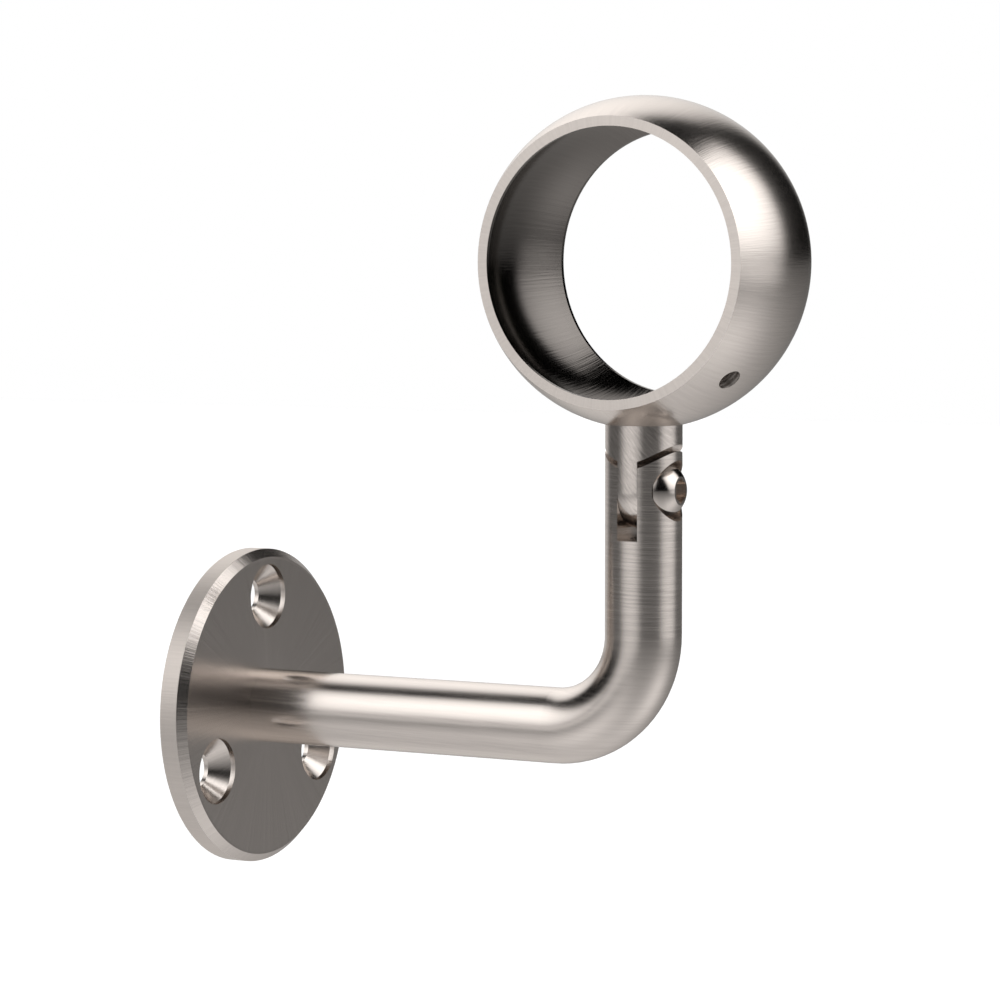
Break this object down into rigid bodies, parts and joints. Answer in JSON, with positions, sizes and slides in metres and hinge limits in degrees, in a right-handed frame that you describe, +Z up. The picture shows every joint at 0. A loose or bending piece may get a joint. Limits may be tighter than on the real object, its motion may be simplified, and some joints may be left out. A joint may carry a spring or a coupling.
{
  "type": "handrail bracket",
  "caption": "Wall bracket for a round handrail: countersunk wall plate, bent round arm, clamped tilt joint and a sliced-ball ring that the rail slides through.",
  "frame": {"origin": "centre of the wall plate's back face, on the wall", "axes": "+X out of the wall, +Y along the handrail, +Z up"},
  "size_m": [0.115, 0.06, 0.145],
  "materials": {
    "brushed_steel": "fine satin brushing",
    "screw_steel": "smooth turned steel"
  },
  "bodies": {
    "wall_arm": {"wall_plate": "brushed_steel", "arm_rod": "brushed_steel", "clamp_screw": "screw_steel"},
    "rail_head": {"swivel_neck": "brushed_steel", "rail_ring": "brushed_steel"}
  },
  "joints": [
    {"name": "head_tilt", "type": "hinge", "parent": "wall_arm", "child": "rail_head", "pos_m": [0.085, 0, 0.044], "axis": [1, 0, 0], "range_deg": [-60, 60]}
  ]
}
